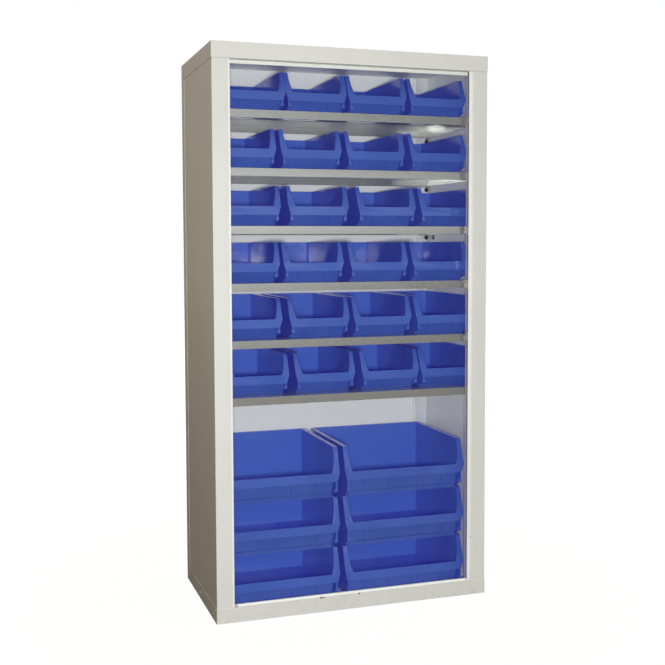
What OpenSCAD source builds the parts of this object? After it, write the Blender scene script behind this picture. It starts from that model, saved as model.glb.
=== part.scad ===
// Parts bin cabinet: an open-fronted cabinet of painted sheet steel with
// galvanised shelves on slotted uprights, four small picking bins on each
// shelf and two stacks of large bins on the floor.
// Sizes are in millimetres. The origin is on the ground at the middle of the
// width and depth, the front faces -Y and +Z is up.

/* [Cabinet] */
// Width over the base and the top cap
cab_w = 915; // [900:1:960]
// Depth from the front rail to the rear face
cab_d = 484; // [480:1:540]
// Height from the ground to the top
cab_h = 1776; // [1774:1:1900]
// Thickness of the painted sheet
sheet = 1.2; // [0.9:0.1:1.5]
// Height of the base tray's walls
base_h = 47; // [35:1:60]
// Height of the top cap's walls
cap_h = 49; // [35:1:50]
// Stiffening lip turned down or up behind the front rails
rail_lip = 10; // [5:0.5:11]
// Width of the foot turned in under the base tray
foot_w = 36; // [34:1:50]
// Height of the floor panel above the ground
floor_z = 8; // [6:0.5:15]
// Clearance between pieces that stand side by side
clear = 0.3; // [0.2:0.05:0.4]

/* [Corner posts] */
// Width of a front post, from the side's outer face to the opening
post_w = 54.8; // [45:0.2:60]
// Depth of the post's return beside the opening
post_d = 34; // [25:1:36]
// Bend radius where the post turns into the opening
post_r = 6; // [3:0.5:9]
// Bend radius of a side panel's other folds and of the uprights
bend_r = 2.5; // [2:0.1:3]
// Bend radius of the back panel, the cap and the tray at the corners
wrap_r = 3; // [2.5:0.1:4]
// Width of the rear flange of a side panel
rear_flange = 12; // [8:1:20]
// How far the back panel wraps round each side
wrap_d = 47; // [20:1:80]

/* [Uprights and clips] */
// Thickness of the slotted uprights
up_t = 1.5; // [1.2:0.1:2]
// Width of an upright
up_w = 47; // [40:1:52]
// Depth of a rear upright's channel
up_rear_d = 7.4; // [5:0.2:8]
// Depth of a front upright's channel
up_front_d = 10; // [8:0.5:12]
// Distance between slots
slot_pitch = 25.4; // [25:0.1:25.4]
// Width of a slot
slot_w = 5; // [4.5:0.1:6]
// Height of a slot
slot_h = 14; // [12:0.5:16]
// Distance from a slot's middle to the upright's outer edge
slot_in = 6.3; // [6:0.1:8]
// Height of the lowest slot's middle above the floor panel
slot_foot = 66.8; // [64:0.2:70]
// Width of a shelf clip
clip_w = 7; // [6:0.1:7.4]
// Height of a shelf clip
clip_h = 17; // [16:0.5:19]
// Length of a clip's ledge
clip_d = 20; // [12:1:25]
// Thickness of a clip
clip_t = 1.5; // [1:0.1:2]
// Play of a clip's tongue in its slot
clip_play = 0.5; // [0.3:0.1:0.7]
// How far a clip's hook laps behind the upright below its slot
clip_lap = 2; // [1.5:0.1:3]

/* [Shelves] */
// Distance from the cabinet's front to a shelf's front edge
shelf_in = 38; // [37:0.5:45]
// Height of a shelf's turned-down edges
shelf_h = 25; // [20:0.5:26]
// Width of the return under a shelf's edges
shelf_return = 12; // [10:1:20]
// Thickness of a shelf
shelf_t = 1; // [0.8:0.1:1.5]
// Slots between one shelf and the next
shelf_step = 7; // [7:1:7]
// Slot that carries the lowest shelf, counted from the bottom
shelf_slot = 23; // [21:1:23]
// Number of shelves
shelves = 6; // [6:1:6]

/* [Small bins] */
// Width over the front frame
small_w = 201; // [185:1:206]
// Height
small_h = 126.5; // [110:0.5:127]
// Clear space between the rim and the rear uprights
small_back = 37.2; // [36:0.1:60]
// How far the rim stands out past the body on each side
small_rim = 10.5; // [8:0.5:14]
// Height of the lip's lower edge
small_lip_low = 35; // [25:0.5:42]
// Height of the lip's upper edge
small_lip_high = 62.5; // [55:0.5:75]
// How far the front corners of the rim stand behind the lip
small_lean = 30; // [20:0.5:36]
// Setback of the base's front edge behind the lip
small_base_in = 40; // [36:0.5:48]
// Setback of the lower panel where it meets the lip
small_tuck = 11; // [7:0.5:16]
// Height of the plain band along the foot of the lower panel
small_band = 8; // [5:0.5:14]
// Width of the front frame's sides at lip height
small_cheek = 24; // [20:0.5:30]
// Distance of the two ribs from the bin's middle
small_rib = 44; // [35:0.5:55]
// Radius of the lower panel's ends
small_end_r = 4; // [3:0.5:8]
// How far the side gussets reach down below the lip
small_lug_h = 17; // [10:0.5:22]

/* [Large bins] */
// Width over the front frame
large_w = 424; // [400:1:428]
// Height
large_h = 166.7; // [150:0.1:175]
// Clear space between the rim and the rear uprights
large_back = 12.2; // [12:0.1:40]
// How far the rim stands out past the body on each side
large_rim = 12; // [9:0.5:16]
// Height of the lip's lower edge
large_lip_low = 57; // [45:0.5:62]
// Height of the lip's upper edge
large_lip_high = 85; // [78:0.5:95]
// How far the front corners of the rim stand behind the lip
large_lean = 28; // [20:0.5:34]
// Setback of the base's front edge behind the lip
large_base_in = 30; // [28:0.5:40]
// Setback of the lower panel where it meets the lip
large_tuck = 9; // [6:0.5:14]
// Height of the plain band along the foot of the lower panel
large_band = 14; // [8:0.5:20]
// Width of the front frame's sides at lip height
large_cheek = 27; // [22:0.5:34]
// Distance of the inner ribs from the bin's middle
large_rib_in = 55; // [45:0.5:65]
// Distance of the outer ribs from the bin's middle
large_rib_out = 138; // [120:0.5:150]
// Radius of the lower panel's ends
large_end_r = 13; // [4:0.5:16]
// How far the side gussets reach down below the lip
large_lug_h = 34; // [20:0.5:40]
// Number of large bins in a stack
stack = 3; // [3:1:3]

/* [Bin moulding] */
// Wall thickness of the bins
wall = 2.4; // [2:0.1:3]
// Depth of the recesses between the ribs
recess = 3; // [2:0.1:4]
// Width of a rib
rib_w = 5; // [4:0.5:8]
// Depth of the skirt turned down round the rim
skirt = 6; // [4:0.5:10]
// Depth of the hanging lip at the back of the rim
hang_h = 14; // [12:0.5:18]
// How far the rim stands out at the back
rear_rim = 8; // [6:0.5:12]
// How much a bin's back leans out from base to rim
rear_draft = 2; // [1:0.5:4]
// Radius of the bins' upright rear corners, outside
corner_r = 12; // [8:0.5:16]
// Cut-off at the lower corners of the front frame
chin = 8; // [5:0.5:10]
// How much a gusset widens at its foot
flare = 6; // [3:0.5:7]
// Distance from the cabinet's front to the bins' lips
bin_in = 72; // [70:0.5:78]
// Gap under a bin
bin_gap = 0.3; // [0.2:0.1:0.5]

/* [Hidden] */
columns = 4;
stacks = 2;
// Share of a shelf's free width that lies left of each small bin, in percent,
// for the shelves from the top down
small_spread = [[45.3, 1, 4.2, 9.4], [15.6, 14.1, 16, 18.4], [28.8, 23.1, 30.1, 15.5],
                [25, 10.8, 20.2, 15.5], [31.2, 22.6, 14.1, 15.5], [51.4, 20.2, 22.2, 5.6]];
// The same for the two stacks of large bins
large_spread = [1, 30];
frame_segments = 6;

front = -cab_d / 2;
rear = cab_d / 2;
side_out = cab_w / 2 - sheet;       // outer face of a side panel
side_in = side_out - sheet;         // inner face of a side panel
open_x = side_out - post_w;         // edge of the front opening
rail_x = open_x - clear;            // end of a rail's return
post_y = front + post_d;            // rear end of a post's return
back_in = rear - sheet;             // inner face of the back panel
cap_z = cab_h - cap_h;              // lower edge of the top cap
up_out = side_in - clear;           // outer edge of an upright
up_front_in = open_x + clear;       // inner edge of a front upright
up_rear_y = back_in - sheet - up_rear_d; // front face of a rear upright
slot_x = up_out - slot_in;
slot_first = floor_z + slot_foot;
slots = floor((cab_h - slot_pitch - slot_first) / slot_pitch);
shelf_x = side_in - 2 * clear;      // side edge of a shelf
shelf_front = front + shelf_in;
shelf_rear = up_rear_y - clear;
clip_top = clip_h / 2 + clip_play;  // a clip's ledge above its slot's middle
small_d = up_rear_y - small_back - front - bin_in;
large_d = up_rear_y - large_back - front - bin_in;

function slot_z(n) = slot_first + n * slot_pitch;
function shelf_top(row) = slot_z(shelf_slot + (shelves - row) * shelf_step) + clip_top + shelf_h;
function part_sum(list, n) = n < 0 ? 0 : list[n] + part_sum(list, n - 1);
// Middle of a bin that stands in a row of count bins of width w
function place_x(w, count, spread, n) =
    -side_in + (2 * side_in - count * w) * part_sum(spread, n) / 100 + n * w + w / 2;

// ---- Outlines ----

function unit(v) = v / norm(v);
function left(v) = [-v[1], v[0]];
// Point b of the corner a, b, c moved d to the left of the path
function mitre(a, b, c, d) =
    let (n1 = left(unit(b - a)), m = unit(n1 + left(unit(c - b)))) b + m * d / (m * n1);
// A closed outline, drawn anticlockwise, moved inwards by d
function inset(p, d) =
    let (n = len(p)) [for (i = [0:n - 1]) mitre(p[(i + n - 1) % n], p[i], p[(i + 1) % n], d)];
// An open path moved to its left by d
function beside(p, d) =
    let (n = len(p) - 1)
    [for (i = [0:n])
        i == 0 ? p[0] + left(unit(p[1] - p[0])) * d
        : i == n ? p[n] + left(unit(p[n] - p[n - 1])) * d
        : mitre(p[i - 1], p[i], p[i + 1], d)];
// The points of an arc of radius r that rounds the corner a, b, c
function bend(a, b, c, r, steps = 4) =
    let (u = unit(a - b), v = unit(c - b), half = acos(u * v) / 2, turn = 180 - 2 * half,
         middle = b + unit(u + v) * r / sin(half),
         from = b + u * r / tan(half) - middle, to = b + v * r / tan(half) - middle)
    [for (k = [0:steps])
        middle + (sin(turn * (1 - k / steps)) * from + sin(turn * k / steps) * to) / sin(turn)];
// An open path with its corners rounded by the radii r
function folded(p, r) =
    [for (i = [0:len(p) - 1])
        each i == 0 || i == len(p) - 1 ? [p[i]] : bend(p[i - 1], p[i], p[i + 1], r[i - 1])];
// The edge-on outline of a folded sheet that lies to the left of a path
function fold_outline(p, r, t) =
    let (outer = folded(p, r), inner = beside(outer, t))
    concat(outer, [for (i = [len(inner) - 1:-1:0]) inner[i]]);
function round_box(w, d, r) =
    let (p = [[-w / 2, -d / 2], [w / 2, -d / 2], [w / 2, d / 2], [-w / 2, d / 2]])
    [for (i = [0:3]) each bend(p[(i + 3) % 4], p[i], p[(i + 1) % 4], r)];

// Extrudes an outline drawn in y and z along X, about the middle
module along_x(length) rotate([90, 0, 90]) linear_extrude(length, center = true) children();
// Extrudes an outline drawn in x and z from y0 to y1
module along_y(y0, y1) translate([0, y1, 0]) rotate([90, 0, 0]) linear_extrude(y1 - y0) children();
module box(x0, x1, y0, y1, z0, z1) translate([x0, y0, z0]) cube([x1 - x0, y1 - y0, z1 - z0]);

// ---- Painted body ----

// Folded from one sheet: rear flange, side, front post and its return
module side_panel() {
    color("#9b9484") translate([0, 0, sheet]) linear_extrude(cab_h - 2 * sheet)
        polygon(fold_outline(
            [[open_x, post_y], [open_x, front + sheet], [side_out, front + sheet],
             [side_out, back_in], [side_out - rear_flange, back_in]],
            [post_r, bend_r, bend_r], sheet));
}

module back_panel() {
    color("#d5d6d0") translate([0, 0, base_h]) linear_extrude(cap_z - base_h)
        polygon(fold_outline(
            [[cab_w / 2, rear - wrap_d], [cab_w / 2, rear], [-cab_w / 2, rear], [-cab_w / 2, rear - wrap_d]],
            [wrap_r, wrap_r], sheet));
}

// Upright wall round the whole cabinet, from z0 to z1
module wall_ring(z0, z1) {
    translate([0, 0, z0]) linear_extrude(z1 - z0) difference() {
        polygon(round_box(cab_w, cab_d, wrap_r));
        polygon(round_box(cab_w - 2 * sheet, cab_d - 2 * sheet, wrap_r - sheet));
    }
}

// Return of a front rail, with its outer face at z and its lip turned down
module rail_return(z, up) {
    t = up ? sheet : -sheet;
    box(-rail_x, rail_x, front + sheet / 2, post_y, min(z, z + t), max(z, z + t));
    box(-rail_x, rail_x, post_y - sheet, post_y, z - rail_lip, z);
}

module top_cap() {
    color("#dcddd6") {
        wall_ring(cap_z, cab_h);
        translate([0, 0, cab_h - sheet]) linear_extrude(sheet) polygon(round_box(cab_w, cab_d, wrap_r));
        rail_return(cap_z, true);
    }
}

module base_tray() {
    color("#cdcec8") {
        wall_ring(0, base_h);
        linear_extrude(sheet) difference() {
            polygon(round_box(cab_w, cab_d, wrap_r));
            square([cab_w - 2 * foot_w, cab_d - 2 * foot_w], center = true);
        }
        rail_return(base_h, false);
    }
}

// Shallow pan that lies on the base tray's foot, notched round the posts
module floor_panel() {
    x = side_in - clear;
    y0 = front + sheet + clear;
    y1 = post_y + clear;
    y2 = back_in - sheet - clear;
    cut = max(bend_r, 2 * sheet) - sheet;
    plan = [[-rail_x, y0], [rail_x, y0], [rail_x, y1], [x, y1], [x, y2 - cut], [x - cut, y2],
            [cut - x, y2], [-x, y2 - cut], [-x, y1], [-rail_x, y1]];
    color("#c9cac6") difference() {
        translate([0, 0, sheet]) linear_extrude(floor_z - sheet) polygon(plan);
        translate([0, 0, sheet / 2]) linear_extrude(floor_z - 1.5 * sheet) polygon(inset(plan, sheet));
    }
}

// ---- Slotted uprights, shelves and clips ----

module slot_row(y0, y1) {
    for (n = [0:slots])
        box(slot_x - slot_w / 2, slot_x + slot_w / 2, y0, y1, slot_z(n) - slot_h / 2, slot_z(n) + slot_h / 2);
}

// Channel behind a front post, its flanges turned to the rear
module upright_front() {
    path = [[up_out, post_y + up_front_d], [up_out, post_y], [up_front_in, post_y], [up_front_in, post_y + up_front_d]];
    color("#8f918f") difference() {
        translate([0, 0, floor_z]) linear_extrude(cab_h - sheet - clear - floor_z)
            polygon(fold_outline([path[3], path[2], path[1], path[0]], [bend_r, bend_r], up_t));
        slot_row(post_y - up_t, post_y + 2 * up_t);
    }
}

// Shallow channel against a side panel's rear flange, clear of that flange's bend
module upright_rear() {
    y1 = back_in - sheet;
    x0 = up_out - up_w;
    x1 = up_out - bend_r + sheet;
    color("#b9bcba") difference() {
        translate([0, 0, floor_z]) linear_extrude(cab_h - sheet - clear - floor_z)
            polygon(fold_outline([[x0, y1], [x0, up_rear_y], [x1, up_rear_y], [x1, y1]],
                                 [bend_r, bend_r], up_t));
        slot_row(up_rear_y - up_t, up_rear_y + 2 * up_t);
    }
}

// Galvanised pan with returns under its edges, notched at the front uprights
module shelf(row) {
    notch_x = open_x - clear;
    notch_y = post_y + up_front_d + clear;
    plan = [[-notch_x, shelf_front], [notch_x, shelf_front], [notch_x, notch_y], [shelf_x, notch_y],
            [shelf_x, shelf_rear], [-shelf_x, shelf_rear], [-shelf_x, notch_y], [-notch_x, notch_y]];
    z = shelf_top(row);
    color("#b4b2a5") difference() {
        translate([0, 0, z - shelf_h]) linear_extrude(shelf_h) polygon(plan);
        translate([0, 0, z - shelf_h + shelf_t]) linear_extrude(shelf_h - 2 * shelf_t) polygon(inset(plan, shelf_t));
        translate([0, 0, z - shelf_h - shelf_t]) linear_extrude(3 * shelf_t) polygon(inset(plan, shelf_return));
    }
}

// Clip hooked through a slot, with its plate on the plane y = 0 and its ledge
// towards -Y
module clip() {
    tongue = slot_w / 2 - clip_play;
    behind = up_t + clear + clip_t;
    box(-clip_w / 2, clip_w / 2, -clip_t, 0, clip_top - clip_h, clip_top);
    box(-clip_w / 2, clip_w / 2, -clip_d, 0, clip_top - clip_t, clip_top);
    box(-tongue, tongue, -clip_t / 2, behind, clip_t - slot_h / 2, slot_h / 2 - 2 * clip_t);
    box(-tongue, tongue, up_t + clear, behind, -slot_h / 2 - clip_lap, clip_lap - slot_h / 2);
}

// The four clips under one shelf
module shelf_clips(row) {
    z = shelf_top(row) - shelf_h - clip_top;
    color("#a5a8a6") for (side = [-1, 1]) {
        translate([side * slot_x, up_rear_y, z]) clip();
        translate([side * slot_x, post_y + up_t, z]) mirror([0, 1, 0]) clip();
    }
}

// ---- Bins ----

// A plan from y0 to y1 of half width x with its two rear corners rounded
function rear_rounded(x, y0, y1, r) =
    let (p = [[-x, y0], [x, y0], [x, y1], [-x, y1]])
    concat([p[0], p[1]], bend(p[1], p[2], p[3], r, 5), bend(p[2], p[3], p[0], r, 5));

// Hopper-fronted bin: its lip's front face is at y = 0 and its base at z = 0.
// The front frame leans back from the lip to the rim, and a gusset under each
// end of the lip runs back to the side wall beside the lower panel.
module bin(w, h, d, rim, lip_low, lip_high, lean, base_in, tuck, band, cheek, ribs, end_r, lug_h) {
    body = w / 2 - rim;                 // half width of the base
    slope = lean / (h - lip_high);
    high = 1.1 * h;
    foot = 2 * wall;                    // height of the square foot under the panel's ends
    panel_tilt = atan2(base_in - tuck, lip_low);
    // Outline of the body from the side, up to height high
    side_view = [[base_in + recess, 0], [d - rear_rim - rear_draft, 0],
                 [d - rear_rim + rear_draft * (high - h) / h, high],
                 [slope * (high - lip_high), high], [0, lip_high], [0, lip_low], [tuck + recess, lip_low]];
    frame_path = [[slope * (high - lip_high), high], [0, lip_high], [0, lip_low], [tuck + recess, lip_low]];
    frame_back = beside(frame_path, wall);
    frame_view = [[-w / 2 + chin, lip_low], [w / 2 - chin, lip_low], [w / 2, lip_high], [w / 2, h],
                  [-w / 2, h], [-w / 2, lip_high]];
    // Edge of the hopper opening, which sweeps out from the cheeks to the rim
    edge = [for (k = [0:frame_segments])
        let (t = k / frame_segments)
        [w / 2 - rim - wall - (cheek - rim - wall) * pow(1 - t, 2.4), lip_high + t * (h + wall - lip_high)]];
    // Plans of the body and of the rim, square in front and rounded at the back
    body_plan = rear_rounded(body, 0, d - rear_rim, corner_r);
    cavity_plan = inset(rear_rounded(body, -2 * wall, d - rear_rim, corner_r), wall);
    rim_plan = rear_rounded(w / 2, lean + wall / 2, d, corner_r + rear_rim / 2);
    rim_hole = inset(rear_rounded(w / 2, lean - 2 * wall, d, corner_r + rear_rim / 2), wall);
    // The lower panel's face in front of its recesses, up to height z
    proud = function(z) [[base_in, 0], [base_in + recess + wall, 0],
                         [base_in + recess + wall + (tuck - base_in) * z / lip_low, z],
                         [base_in + (tuck - base_in) * z / lip_low, z]];
    // Section outside the panel's rounded end, for the surface that lies in by t.
    // Its arc runs past both faces by a little.
    past = wall / 8;
    round_end = function(t) let (c = t - past, r = end_r - t + 2 * past)
        concat([[rim, -recess - wall], [-c - r, -recess - wall]],
               bend([-c - 2 * r, c], [-c, c], [-c, c + 2 * r], r, 5), [[rim, c + r]]);
    gusset_out = w / 2 - chin;
    gusset_in = body - wall / 2;
    gusset_low = lip_low - lug_h;

    // Both ends of the lower panel between two heights, in the section's shape
    module panel_ends(section, z0, z1)
        for (side = [0, 1]) mirror([side, 0, 0]) intersection() {
            translate([body, base_in + recess, 0]) rotate([panel_tilt, 0, 0])
                linear_extrude(4 * lip_low, center = true) polygon(section);
            box(0, w, -w, w, z0, z1);
        }

    difference() {
        union() {
            difference() {
                union() {
                    intersection() {
                        along_x(w) polygon(side_view);
                        linear_extrude(h) polygon(body_plan);
                    }
                    along_x(2 * body) polygon(proud(band));
                    for (x = ribs) translate([x, 0, 0]) along_x(rib_w) polygon(proud(lip_low));
                }
                panel_ends(round_end(0), foot, lip_low);
            }
            intersection() {
                along_x(w) polygon(concat(frame_path, [for (i = [3:-1:0]) frame_back[i]]));
                along_y(-1, d) polygon(frame_view);
            }
            for (side = [0, 1]) mirror([side, 0, 0]) {
                translate([(gusset_in + gusset_out) / 2, 0, 0]) along_x(gusset_out - gusset_in)
                    polygon([[wall / 2, lip_low + wall / 2], [wall / 2, gusset_low],
                             [base_in + recess + end_r, wall], [base_in + recess + 2 * end_r, wall],
                             [base_in + recess + 2 * end_r, lip_low + wall / 2]]);
                along_y(wall / 2, 2 * wall)
                    polygon([[gusset_out, gusset_low + 2.5 * flare], [gusset_in, gusset_low + 2.5 * flare],
                             [gusset_in - flare, gusset_low + flare / 2], [gusset_in - flare / 2, gusset_low],
                             [gusset_out, gusset_low], [gusset_out + flare / 4, gusset_low + flare / 2]]);
            }
            // Rim with its skirt and the hanging lip
            translate([0, 0, h - wall]) linear_extrude(wall) polygon(rim_plan);
            translate([0, 0, h - skirt]) linear_extrude(skirt) difference() {
                polygon(rim_plan);
                polygon(rim_hole);
            }
            box(-w / 4, w / 4, d - wall, d, h - hang_h, h - wall / 2);
        }
        difference() {
            intersection() {
                along_x(w) polygon(inset(side_view, wall));
                translate([0, 0, -wall]) linear_extrude(high) polygon(cavity_plan);
            }
            panel_ends(round_end(wall), 0, lip_low + wall);
        }
        along_y(-wall, lean + 2 * wall)
            polygon(concat(edge, [for (i = [frame_segments:-1:0]) [-edge[i][0], edge[i][1]]]));
    }
}

module small_bin(row, col) {
    color("#3d54a8")
        translate([place_x(small_w, columns, small_spread[row - 1], col - 1), front + bin_in, shelf_top(row) + bin_gap])
        bin(small_w, small_h, small_d, small_rim, small_lip_low, small_lip_high, small_lean, small_base_in,
            small_tuck, small_band, small_cheek, [-small_rib, small_rib], small_end_r, small_lug_h);
}

module large_bin(row, col) {
    color("#3b53a9")
        translate([place_x(large_w, stacks, large_spread, col - 1), front + bin_in,
                   floor_z + bin_gap + (stack - row) * (large_h + bin_gap)])
        bin(large_w, large_h, large_d, large_rim, large_lip_low, large_lip_high, large_lean, large_base_in,
            large_tuck, large_band, large_cheek, [-large_rib_out, -large_rib_in, large_rib_in, large_rib_out],
            large_end_r, large_lug_h);
}

mirror([1, 0, 0]) side_panel();  // side_panel_left
side_panel();  // side_panel_right
back_panel();
top_cap();
base_tray();
floor_panel();
mirror([1, 0, 0]) upright_front();  // upright_front_left
upright_front();  // upright_front_right
mirror([1, 0, 0]) upright_rear();  // upright_rear_left
upright_rear();  // upright_rear_right
for (row = [1:shelves]) {
    shelf(row);
    shelf_clips(row);
    for (col = [1:columns])
        small_bin(row, col);
}
for (row = [1:stack], col = [1:stacks])
    large_bin(row, col);
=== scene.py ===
"""A parts bin cabinet: painted sheet steel, galvanised shelves and blue picking bins."""
import math

import bmesh
import bpy
from mathutils import Matrix, Vector


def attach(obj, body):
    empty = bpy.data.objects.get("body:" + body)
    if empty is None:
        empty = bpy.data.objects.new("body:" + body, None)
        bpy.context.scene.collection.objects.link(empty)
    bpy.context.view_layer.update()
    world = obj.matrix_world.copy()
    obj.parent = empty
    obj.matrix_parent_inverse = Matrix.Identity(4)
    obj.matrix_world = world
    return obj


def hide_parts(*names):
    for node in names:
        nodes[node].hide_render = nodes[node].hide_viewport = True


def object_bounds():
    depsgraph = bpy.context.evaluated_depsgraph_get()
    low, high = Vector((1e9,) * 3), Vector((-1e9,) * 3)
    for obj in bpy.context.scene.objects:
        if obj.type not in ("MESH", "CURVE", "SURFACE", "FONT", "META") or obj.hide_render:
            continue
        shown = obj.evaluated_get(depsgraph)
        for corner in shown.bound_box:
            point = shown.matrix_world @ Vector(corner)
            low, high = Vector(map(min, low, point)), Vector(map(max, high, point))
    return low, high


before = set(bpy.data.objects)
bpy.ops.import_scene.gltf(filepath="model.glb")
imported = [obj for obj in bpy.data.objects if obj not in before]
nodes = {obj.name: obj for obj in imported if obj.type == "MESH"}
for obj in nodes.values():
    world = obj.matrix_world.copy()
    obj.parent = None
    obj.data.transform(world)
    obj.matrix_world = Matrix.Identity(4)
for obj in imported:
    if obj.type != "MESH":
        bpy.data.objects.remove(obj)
cad_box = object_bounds()
front_y = cad_box[0].y

# ---------------------------------------------------------------- Studio
# A camera at standing height, left of the cabinet and in front of it, over a
# plain pale floor. Lamps beside the camera light the front, the sky and the rear
# of the room light what lies deeper, and the left is dim and warm.

picture_side, axis_row, focal_length = 665, 311.8, 1044  # pixels
sensor = 36  # millimetres
eye = (-1.1170, front_y - 3.0986, 1.1714)
yaw, pitch, roll = math.radians(18.53), math.radians(-3.74), math.radians(-0.18)
ahead = Vector((math.sin(yaw) * math.cos(pitch), math.cos(yaw) * math.cos(pitch), math.sin(pitch)))
level = Vector((math.cos(yaw), -math.sin(yaw), 0))
above = level.cross(ahead)
right = level * math.cos(roll) + above * math.sin(roll)
up = above * math.cos(roll) - level * math.sin(roll)
lens = bpy.data.cameras.new("camera")
lens.sensor_width = sensor
lens.lens = sensor * focal_length / picture_side
lens.shift_y = -(picture_side / 2 - axis_row) / picture_side
lens.clip_end = 60
camera = bpy.data.objects.new("camera", lens)
camera.matrix_world = Matrix.Translation(eye) @ Matrix((right, up, -ahead)).transposed().to_4x4()
bpy.context.scene.collection.objects.link(camera)
bpy.context.scene.camera = camera
bpy.context.scene.view_settings.view_transform = "Standard"


class Wire:
    """One output in a node tree. Arithmetic on it adds Math nodes."""

    def __init__(self, tree, socket=None):
        self.tree = tree
        self.socket = socket

    def node(self, kind, settings=(), out=0, **inputs):
        """Adds a node, sets it up first, feeds its inputs and returns one output.
        Inputs go by name, with _ for a blank, or by place, as i0, i1 and so on."""
        prefix = "" if kind.startswith(("Geometry", "Function")) else "ShaderNode"
        made = self.tree.nodes.new(prefix + kind)
        for name, value in dict(settings).items():
            setattr(made, name, value)
        for name, value in inputs.items():
            by_place = name[0] == "i" and name[1:].isdigit()
            socket = made.inputs[int(name[1:])] if by_place else made.inputs[name.replace("_", " ")]
            if isinstance(value, Wire):
                self.tree.links.new(value.socket, socket)
            elif isinstance(value, tuple) and len(value) == 3 and socket.type == "RGBA":
                socket.default_value = (*value, 1)
            else:
                socket.default_value = value
        return Wire(self.tree, made.outputs[out])

    def math(self, operation, a, b=0.0):
        return self.node("Math", {"operation": operation}, i0=a, i1=b)

    def __add__(self, other):
        return self.math("ADD", self, other)

    def __radd__(self, other):
        return self.math("ADD", other, self)

    def __sub__(self, other):
        return self.math("SUBTRACT", self, other)

    def __rsub__(self, other):
        return self.math("SUBTRACT", other, self)

    def __mul__(self, other):
        return self.math("MULTIPLY", self, other)

    def __rmul__(self, other):
        return self.math("MULTIPLY", other, self)

    def __truediv__(self, other):
        return self.math("DIVIDE", self, other)

    def over(self, low, high):
        """0 where the value is at low and 1 where it is at high, smooth between."""
        return self.node("MapRange", {"interpolation_type": "SMOOTHSTEP"},
                         Value=self, From_Min=low, From_Max=high)

    def mixed(self, a, b, blend="MIX"):
        """Colour a where the value is 0 and colour b where it is 1, or a times b with MULTIPLY."""
        return self.node("Mix", {"data_type": "RGBA", "blend_type": blend}, out=2, i0=self, i6=a, i7=b)

    def noise(self, scale, detail, roughness=0.5, stretch=(1, 1, 1)):
        """Noise over a position, drawn out where stretch is below 1."""
        spot = self.node("Mapping", i0=self, i3=stretch)
        return self.node("TexNoise", i0=spot, Scale=scale, Detail=detail, Roughness=roughness)

    def bump(self, height):
        """A normal that follows a height in metres."""
        return self.node("Bump", i0=1.0, i1=1.0, Height=height)


def new_material(name):
    """A material with an empty tree, and the position on the object as a wire in it."""
    made = bpy.data.materials.new(name)
    made.use_nodes = True
    made.node_tree.nodes.clear()
    wire = Wire(made.node_tree)
    return made, wire.node("TexCoord", out=3)


def finish_with(wire, shader):
    output = wire.tree.nodes.new("ShaderNodeOutputMaterial")
    wire.tree.links.new(shader.socket, output.inputs[0])


def new_object(name, mesh):
    made = bpy.data.objects.new(name, mesh)
    bpy.context.scene.collection.objects.link(made)
    return made


floor_corners = [(-14, -9, 0), (14, -9, 0), (14, 16, 0), (-14, 16, 0)]
floor_mesh = bpy.data.meshes.new("studio_floor")
floor_mesh.from_pydata(floor_corners, [], [(0, 1, 2, 3)])
floor = new_object("studio_floor", floor_mesh)
floor_finish, here = new_material("studio_floor")
far = here.node("VectorMath", {"operation": "LENGTH"}, out=1, i0=here).over(0.8, 3.0)
to_camera, to_gloss = here.node("LightPath", out=0), here.node("LightPath", out=3)
seen = here.math("MAXIMUM", to_camera, to_gloss * 0.06)
lit = here.node("BsdfDiffuse", Color=(0.14, 0.12, 0.10))
white = here.node("Emission", Color=(1.0, 1.0, 1.0), Strength=1.12)
finish_with(here, here.node("MixShader", i0=seen * (0.88 + far * 0.12), i1=lit, i2=white))
floor_mesh.materials.append(floor_finish)

front_room, rear_room, ceiling = (0.36, 0.36, 0.39), (0.34, 0.34, 0.34), (0.80, 0.79, 0.76)
gloss_left, gloss_right = (0.62, 0.62, 0.62), (0.12, 0.12, 0.12)
zenith_light, rear_light = (1.6, 1.6, 1.6), (0.85, 0.85, 0.85)
warm_tint, warm_left = (1.0, 0.95, 0.76), (0.20, 0.11, 0.0)

world = bpy.data.worlds.new("studio")
world.use_nodes = True
world.node_tree.nodes.clear()
air = Wire(world.node_tree)
direction = air.node("TexCoord", out=0)
sideways, forward, upward = (air.node("SeparateXYZ", i0=direction, out=n) for n in range(3))
leftward = -1 * sideways
to_camera, to_gloss = air.node("LightPath", out=0), air.node("LightPath", out=3)
to_matt = 1 - to_gloss
room = forward.over(-0.5, 0.5).mixed(front_room, rear_room)
room = upward.over(0.1, 0.9).mixed(room, ceiling)
mirrored = sideways.over(0.15, 0.45).mixed(gloss_left, gloss_right)
room = (to_gloss * (1 - forward.over(-0.7, 0.0))).mixed(room, mirrored)
room = (upward.over(0.72, 1.0) * to_matt).mixed(room, zenith_light)
room = (forward.over(0.55, 0.90) * to_matt).mixed(room, rear_light)
room = leftward.over(0.05, 0.5).mixed(room, warm_tint, "MULTIPLY")
room = (leftward.over(0.0, 0.7) * forward.over(-0.90, -0.50)).mixed(room, warm_left)
glossy_backdrop = to_gloss * forward * (0.05 + upward.over(0.0, 0.2) * 0.25)
backdrop = air.math("MAXIMUM", to_camera, glossy_backdrop)
sky = air.node("Background", Color=backdrop.mixed(room, (1.0, 1.0, 1.0)), Strength=1.0)
air.tree.links.new(sky.socket, air.tree.nodes.new("ShaderNodeOutputWorld").inputs[0])
bpy.context.scene.world = world


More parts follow.
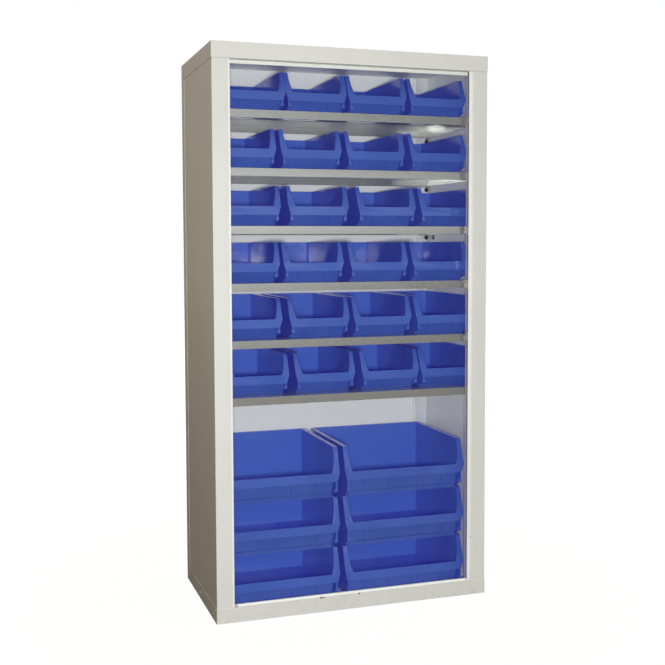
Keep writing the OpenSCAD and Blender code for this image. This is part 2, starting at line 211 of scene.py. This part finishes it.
def lamp(name, place, target, width, height, watts, on_gloss=True, on_matt=True):
    """A soft rectangular lamp that faces a point. It may leave out gloss, or light gloss alone."""
    data = bpy.data.lights.new(name, "AREA")
    data.shape = "RECTANGLE"
    data.size, data.size_y = width, height
    data.energy = watts
    made = bpy.data.objects.new(name, data)
    made.location = place
    made.rotation_euler = (Vector(target) - Vector(place)).to_track_quat("-Z", "Y").to_euler()
    made.visible_glossy = on_gloss
    made.visible_diffuse = on_matt
    bpy.context.scene.collection.objects.link(made)


lamp("lamp_by_camera", (-1.13, front_y - 3.30, 1.10), target=(0, 0, 0.8),
     width=0.18, height=0.18, watts=84, on_gloss=False)
lamp("lamp_glint_left", (-1.205, front_y - 3.280, 1.13), target=(0, 0, 0.9),
     width=0.02, height=0.20, watts=15, on_matt=False)
lamp("lamp_glint_right", (-1.156, front_y - 3.296, 1.13), target=(0, 0, 0.9),
     width=0.02, height=0.20, watts=15, on_matt=False)
lamp("lamp_strip", (1.25, -3.9, 1.42), target=(0, 0, 1.1), width=1.9, height=0.40, watts=1.5)

# ---------------------------------------------------------------- Painted body
# Sides, back, top cap, base tray and floor panel are folded from 1.2 mm steel
# and powder-coated light grey. The coat is satin, faintly pebbled, and chipped to
# darker steel on a few edges. Inside it is painted lighter, as painted light, and low on
# the sides it is painted darker, as painted shade. Near the floor it darkens in blotches,
# part dirt and part painted shade, and a thin painted shadow lies in the gap behind
# each post's return.


def srgb(*levels):
    """A colour as it is read from a screen, 0 to 255, made linear."""
    return tuple(v / 255 / 12.92 if v <= 10 else ((v / 255 + 0.055) / 1.055) ** 2.4 for v in levels)


def shaded(colour, share):
    return tuple(c * share for c in colour)


paint_grey = srgb(220, 222, 217)
painted_light_inside_grey = srgb(240, 244, 237)
bare_steel_and_shade_grey = srgb(120, 116, 110)
cap_edge, post_edge = 1.7268, 0.4015  # height of the opening's top, and half its width
side_sheet, side_skin = (0.4554, 0.4560), (0.4556, 0.4560)  # within the sides' sheet, from the middle
back_sheet, top_sheet = (0.2412, 0.2416), (1.7750, 1.7756)  # within the back's and the cap's sheet
chips = [  # place in metres from the middle of the front edge, and radius
    (-0.120, 0.000, 0.0465, 0.0040), (-0.112, 0.000, 0.047, 0.0030), (0.010, 0.0, 0.0468, 0.0035),
    (0.4031, 0.001, 0.1950, 0.0030), (0.4026, 0.000, 1.602, 0.0026), (0.4026, 0.000, 1.582, 0.0022),
    (-0.4570, 0.047, 0.020, 0.0040), (-0.4570, 0.016, 0.042, 0.0050),
]


def powder_coat(name, colour):
    made, here = new_material(name)
    pebble = here.noise(900, 2)
    cloud = here.noise(3.0, 3, 0.6)
    rub = here.noise(60, 4, 0.7)
    across, deep, height = (here.node("SeparateXYZ", i0=here, out=n) for n in range(3))
    across = here.math("ABSOLUTE", across)
    tone = cloud.over(0.25, 0.75).mixed(shaded(colour, 0.965), shaded(colour, 1.02))
    # Darker in blotches in the lowest 10 cm: part dirt, part painted shade near the floor.
    low_dirt_and_shade = (1 - height.over(0.0, 0.10)) * rub.over(0.45, 0.75) * 0.25
    tone = low_dirt_and_shade.mixed(tone, shaded(colour, 0.62))
    # Painted shade: the side panels are painted darker towards the bottom.
    painted_shade_low_sides = (1 - height.over(0.10, 1.00)) * across.over(*side_skin)
    tone = painted_shade_low_sides.mixed(tone, shaded(colour, 0.72))
    # Painted light: inner faces take a lighter, cooler grey than the outside.
    inner = deep.over(front_y + 0.0020, front_y + 0.0040) * (1 - deep.over(*back_sheet))
    inner = inner * (1 - across.over(*side_sheet)) * (1 - height.over(*top_sheet))
    tone = (inner * 0.9).mixed(tone, painted_light_inside_grey)
    bare = None
    ragged = here.noise(420, 3, 0.7) * 0.012
    for x, y, z, radius in chips:
        away = here.node("VectorMath", {"operation": "DISTANCE"}, out=1, i0=here, i1=(x, front_y + y, z))
        spot = 1 - (away + ragged - 0.006).over(radius * 0.75, radius)
        bare = spot if bare is None else bare.math("MAXIMUM", bare, spot)
    tone = bare.mixed(tone, bare_steel_and_shade_grey)
    cap_seam = 1 - here.math("ABSOLUTE", height - cap_edge).over(0.0004, 0.0011)
    cap_seam = cap_seam * across.over(post_edge, post_edge + 0.0004)
    tone = (cap_seam * 0.30).mixed(tone, bare_steel_and_shade_grey)
    # Painted shadow: a thin dark line in the gap behind each post's return.
    painted_gap_shade = across.over(post_edge - 0.0012, post_edge - 0.0006)
    painted_gap_shade = painted_gap_shade * (1 - across.over(post_edge, post_edge + 0.0002))
    painted_gap_shade = painted_gap_shade * deep.over(front_y + 0.0240, front_y + 0.0250)
    tone = (painted_gap_shade * 0.9).mixed(tone, bare_steel_and_shade_grey)
    rough = 0.30 + rub.over(0.3, 0.8) * 0.06 + bare * 0.2
    relief = pebble * 0.00004 - bare * 0.00012
    finish_with(here, here.node("BsdfPrincipled", Base_Color=tone, Roughness=rough,
                                Normal=here.bump(relief)))
    return made


coat = powder_coat("light_grey_powder_coat", paint_grey)
flat_within, corner_from = math.radians(0.5), math.radians(28)
sheet_edge, clip_edge, moulding_edge = 0.0004, 0.0003, 0.0009  # rounding of edges


def soft_edged(node, radius, finish, name, segments=2):
    """A copy of a CAD node's mesh as closed flat faces with rounded edges."""
    mesh = bpy.data.meshes.new(name)
    b = bmesh.new()
    b.from_mesh(nodes[node].data)
    bmesh.ops.remove_doubles(b, verts=b.verts, dist=1e-6)
    bmesh.ops.dissolve_limit(b, angle_limit=flat_within, verts=b.verts, edges=b.edges)
    b.to_mesh(mesh)
    b.free()
    mesh.materials.clear()
    mesh.materials.append(finish)
    made = new_object(name, mesh)
    rounding = made.modifiers.new("rounding", "BEVEL")
    rounding.width, rounding.segments = radius, segments
    rounding.limit_method, rounding.angle_limit = "ANGLE", corner_from
    rounding.miter_outer = "MITER_ARC"
    mesh.shade_smooth()
    normals = made.modifiers.new("normals", "WEIGHTED_NORMAL")
    normals.keep_sharp = True
    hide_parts(node)
    return made


for node in ("side_panel_left", "side_panel_right", "back_panel", "top_cap", "base_tray", "floor_panel"):
    piece = soft_edged(node, sheet_edge, coat, node + "_painted")
    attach(piece, "cabinet")

# ---------------------------------------------------------------- Edge strips
# A folded strip lines each post's return and the base rail's, beside the
# opening. Its coat is painted lighter than the body's, a painted highlight where the
# folded edges catch the light, and it leans a little out of its plane.

strip_width, strip_gap, strip_edge, base_edge = 0.0080, 0.0016, 0.0003, 0.047
# Painted highlight: the strips' coat is lighter than the body's.
strip_highlight_coat = powder_coat("painted_highlight_edge_coat", srgb(240, 242, 241))


def edge_strip(name, section, start, end):
    """A straight closed strip with a section given as (x, y, z) points, moved from start to end."""
    mesh = bpy.data.meshes.new(name)
    b = bmesh.new()
    rings = [[b.verts.new(Vector(p) + Vector(move)) for p in section] for move in (start, end)]
    for n in range(len(section)):
        b.faces.new((rings[0][n], rings[0][n - 1], rings[1][n - 1], rings[1][n]))
    b.faces.new(rings[0])
    b.faces.new(reversed(rings[1]))
    bmesh.ops.recalc_face_normals(b, faces=b.faces)
    b.to_mesh(mesh)
    b.free()
    mesh.materials.append(strip_highlight_coat)
    made = new_object(name, mesh)
    rounding = made.modifiers.new("rounding", "BEVEL")
    rounding.width, rounding.segments = strip_edge, 2
    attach(made, "cabinet")


foot, head = (0, 0, base_edge + 0.0005), (0, 0, cap_edge - 0.0010)
outer = post_edge - strip_gap
inner = outer - strip_width
section = [(x, front_y + y, 0) for x, y in (
    (outer, 0.0006), (inner, 0.0024), (inner + 0.0004, 0.0036), (inner + 0.0020, 0.0038),
    (outer - 0.0010, 0.0034), (post_edge, 0.0110), (post_edge, 0.0030))]
edge_strip("edge_strip_right", section, foot, head)
section = [(-post_edge - x, front_y + y, 0) for x, y in (
    (-0.0006, -0.0002), (0.0050, -0.0004), (0.0052, 0.0004),
    (-0.0002, 0.0004), (-0.0002, 0.0100), (-0.0006, 0.0100))]
edge_strip("edge_strip_left", section, foot, head)
low = base_edge + strip_gap
half_length = post_edge - 0.0115
section = [(0, front_y + y, z) for y, z in (
    (0.0006, low), (0.0060, low + 0.0060), (0.0070, low + 0.0058), (0.0070, low + 0.0040),
    (0.0110, base_edge), (0.0030, base_edge))]
edge_strip("edge_strip_base", section, (-half_length, 0, 0), (half_length, 0, 0))

# ---------------------------------------------------------------- Rivets, studs and screws
# Zinc rivets hold the cap and the base to the side panels. Black studs plug the
# rear uprights' slots under the upper shelves. Under the third shelf a grey screw
# on a dark washer sits in each side.


def heads(name, finish, places, radius, height, hollow):
    """A domed head on every place, given as the point and the way it faces."""
    tree = bpy.data.node_groups.new(name, "GeometryNodeTree")
    tree.interface.new_socket("Geometry", in_out="INPUT", socket_type="NodeSocketGeometry")
    wanted = {"Radius": radius, "Height": height, "Hollow": hollow, "Finish": finish}
    for label in wanted:
        kind = "NodeSocketMaterial" if label == "Finish" else "NodeSocketFloat"
        tree.interface.new_socket(label, in_out="INPUT", socket_type=kind)
    tree.interface.new_socket("Geometry", in_out="OUTPUT", socket_type="NodeSocketGeometry")
    given = tree.nodes.new("NodeGroupInput")
    points, size, rise, dip, paint = (Wire(tree, given.outputs[n]) for n in range(5))
    ball = points.node("GeometryNodeMeshUVSphere", Segments=20, Rings=12, Radius=size)
    position = points.node("GeometryNodeInputPosition")
    x, y, z = (points.node("SeparateXYZ", i0=position, out=n) for n in range(3))
    middle = 1 - (points.math("SQRT", x * x + y * y) / size).over(0.18, 0.36)
    top = points.math("MAXIMUM", z, 0.0) * rise / size * (1 - middle * dip)
    bottom = points.math("MINIMUM", z, 0.0) * 0.15
    moved = points.node("CombineXYZ", i0=x, i1=y, i2=top + bottom)
    domed = points.node("GeometryNodeSetPosition", Geometry=ball, Position=moved)
    facing = points.node("GeometryNodeInputNamedAttribute", {"data_type": "FLOAT_VECTOR"}, i0="facing")
    turn = points.node("FunctionNodeAlignRotationToVector", {"axis": "Z"}, Vector=facing)
    copies = points.node("GeometryNodeInstanceOnPoints", Points=points, Instance=domed, Rotation=turn)
    real = points.node("GeometryNodeRealizeInstances", i0=copies)
    smooth = points.node("GeometryNodeSetShadeSmooth", i0=real)
    coated = points.node("GeometryNodeSetMaterial", Geometry=smooth, Material=paint)
    tree.links.new(coated.socket, tree.nodes.new("NodeGroupOutput").inputs[0])
    mesh = bpy.data.meshes.new(name)
    mesh.from_pydata([place for place, way in places], [], [])
    arrows = mesh.attributes.new("facing", "FLOAT_VECTOR", "POINT")
    for n, (place, way) in enumerate(places):
        arrows.data[n].vector = way
    made = new_object(name, mesh)
    maker = made.modifiers.new("heads", "NODES")
    maker.node_group = tree
    for item in tree.interface.items_tree:
        if item.in_out == "INPUT" and item.name in wanted:
            maker[item.identifier] = wanted[item.name]
    bpy.context.view_layer.update()
    result = bpy.data.meshes.new_from_object(made.evaluated_get(bpy.context.evaluated_depsgraph_get()))
    made.modifiers.clear()
    made.data = result
    result.materials.clear()
    result.materials.append(finish)
    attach(made, "cabinet")


def plain(name, colour, rough, metallic):
    made, here = new_material(name)
    cloud = here.noise(400, 3, 0.6)
    tone = cloud.mixed(shaded(colour, 0.8), colour)
    finish_with(here, here.node("BsdfPrincipled", Base_Color=tone, Metallic=metallic,
                                Roughness=rough + cloud * 0.1, Normal=here.bump(cloud * 0.00002)))
    return made


head_zinc = plain("zinc_rivet", srgb(252, 252, 250), 0.40, 0.9)
screw_grey = plain("grey_screw", srgb(200, 201, 202), 0.32, 0.3)
stud_black = plain("black_stud", srgb(30, 31, 33), 0.28, 0.0)
cap_side, slot_side, panel_inside = 0.4575, 0.4480, 0.4551  # distance from the cabinet's middle
stud_depth, screw_depth = 0.4740, 0.4253  # distance from the front edge
rivets = [(0.050, 1.750), (0.022, 1.733), (0.044, 0.021), (0.248, 0.021), (0.016, 0.040)]
under_shelf = [1.5445, 1.3680, 1.1930]
places = [((side * cap_side, front_y + y, z), (side, 0, 0)) for side in (-1, 1) for y, z in rivets]
heads("side_rivets", head_zinc, places, radius=0.0046, height=0.0024, hollow=0.2)
places = [((side * slot_side, front_y + stud_depth, z), (0, -1, 0))
          for side in (-1, 1) for z in under_shelf]
heads("shelf_studs", stud_black, places, radius=0.0075, height=0.0075, hollow=0.0)
places = [((side * panel_inside, front_y + screw_depth, under_shelf[2]), (-side, 0, 0)) for side in (-1, 1)]
heads("upright_washers", stud_black, places, radius=0.0085, height=0.0060, hollow=0.0)
heads("upright_screws", screw_grey, places, radius=0.0060, height=0.0110, hollow=0.20)

# ---------------------------------------------------------------- Shelves and uprights
# Shelves are galvanised pans, smoother underneath and painted brighter there, a painted
# reflection. Uprights are roll-formed channels with a row of slots, and each shelf hangs
# on four plated clips. All are bare metal with a faint spangle.


def zinc(name, bright, dark, rough, spangle, metallic=0.8):
    made, here = new_material(name)
    cells = here.node("TexVoronoi", {"feature": "F1"}, out=1, i0=here, Scale=spangle)
    grain = here.node("SeparateColor", i0=cells, out=0)
    cloud = here.noise(7, 3, 0.6)
    brushed = here.noise(500, 3, 0.6, (0.015, 1, 1))
    tone = (grain * 0.40 + cloud * 0.25 + brushed * 0.35).mixed(dark, bright)
    rough = rough * (1 + grain * 0.4 + cloud * 0.25)
    finish_with(here, here.node("BsdfPrincipled", Base_Color=tone, Metallic=metallic,
                                Roughness=rough, Normal=here.bump(brushed * 0.000012)))
    return made


galvanised = zinc("galvanised_sheet", srgb(224, 227, 224), srgb(180, 183, 180), 0.16, 420)
# Painted reflection: the undersides are painted brighter than the tops.
painted_reflection_underside = zinc("galvanised_underside", srgb(252, 253, 251), srgb(238, 240, 238), 0.045, 420, 0.95)
bright_zinc = zinc("bright_zinc_channel", srgb(246, 248, 250), srgb(228, 231, 234), 0.26, 420, 0.4)
plated = zinc("plated_clip", srgb(120, 120, 120), srgb(80, 80, 82), 0.28, 300)
for node in ["shelf_%d" % n for n in range(1, 7)]:
    piece = soft_edged(node, sheet_edge, galvanised, node + "_galvanised")
    piece.data.materials.append(painted_reflection_underside)
    for face in piece.data.polygons:
        face.material_index = int(face.normal.z < -0.9)
    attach(piece, "cabinet")
for node in ("upright_front_left", "upright_front_right", "upright_rear_left", "upright_rear_right"):
    nodes[node].data.materials.clear()
    nodes[node].data.materials.append(bright_zinc)
for node in ["shelf_clips_%d" % n for n in range(1, 7)]:
    piece = soft_edged(node, clip_edge, plated, node + "_plated", 1)
    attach(piece, "cabinet")

# ---------------------------------------------------------------- Bins
# Each bin is one injection moulding in glossy blue polypropylene: a hopper
# front with a thick lip, ribs under it, and a rim that the next bin stands on.
# It is rounded at every edge, finely grained, and lets a little light through.
# A faint blue glow is painted light that lifts its shade, and its colour is
# painted lighter towards the back as painted light.

blue, here = new_material("blue_polypropylene")
grain = here.noise(1500, 2)
cloud = here.noise(9, 3, 0.6)
rub = here.noise(70, 4, 0.7)
# Painted light: the blue is painted lighter towards the back of each bin.
painted_light_towards_back = here.node("SeparateXYZ", i0=here, out=1).over(-0.08, 0.14)
tone = cloud.over(0.3, 0.7).mixed(srgb(61, 93, 162), srgb(68, 100, 170))
tone = painted_light_towards_back.mixed(tone, srgb(77, 113, 186))
# The faint blue emission is a painted glow that lifts the plastic's shade.
finish_with(here, here.node("BsdfPrincipled", Base_Color=tone, Roughness=0.028 + rub.over(0.2, 0.9) * 0.014,
                            Emission_Color=(0.12, 0.07, 1.0), Emission_Strength=0.08,
                            Subsurface_Weight=0.35, Subsurface_Radius=(0.3, 0.6, 3.0),
                            Subsurface_Scale=0.001, Normal=here.bump(grain * 0.00002)))


def moulded(node, name):
    piece = soft_edged(node, moulding_edge, blue, name)
    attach(piece, node)


for row in range(1, 7):
    for column in range(1, 5):
        moulded("small_bin_%d_%d" % (row, column), "picking_bin_%d_%d" % (row, column))
for row in range(1, 4):
    for column in range(1, 3):
        moulded("large_bin_%d_%d" % (row, column), "stacking_bin_%d_%d" % (row, column))
